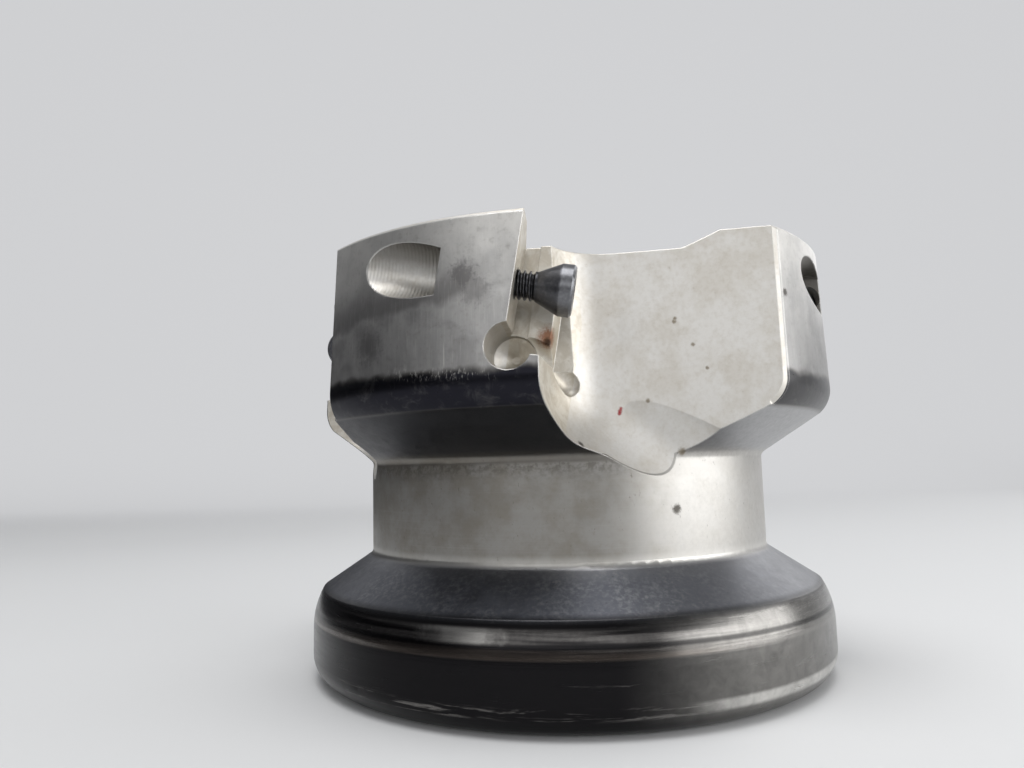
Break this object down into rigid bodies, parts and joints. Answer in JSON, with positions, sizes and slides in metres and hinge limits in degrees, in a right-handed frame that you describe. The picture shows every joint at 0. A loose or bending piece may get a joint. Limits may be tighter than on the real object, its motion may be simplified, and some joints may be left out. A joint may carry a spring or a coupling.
{
  "type": "indexable face mill",
  "caption": "Right-hand indexable face mill: a spool-shaped steel body with insert pockets and gullets round the head, inserts removed, small black insert screws left in place.",
  "frame": {"origin": "middle of the back face, where the cutter's axis meets it", "axes": "+Z along the axis towards the cutting end; the drive slot runs along X; the first tooth's seat is on the -Y side and faces +X"},
  "size_m": [0.0752, 0.0754, 0.0557],
  "materials": {
    "body_steel": "satin hardened steel, oiled and worn",
    "black_steel": "black oxide, satin"
  },
  "bodies": {
    "root": {"cutter_body": "body_steel", "insert_screw_1": "black_steel", "insert_screw_2": "black_steel", "insert_screw_3": "black_steel", "insert_screw_4": "black_steel"}
  },
  "joints": []
}
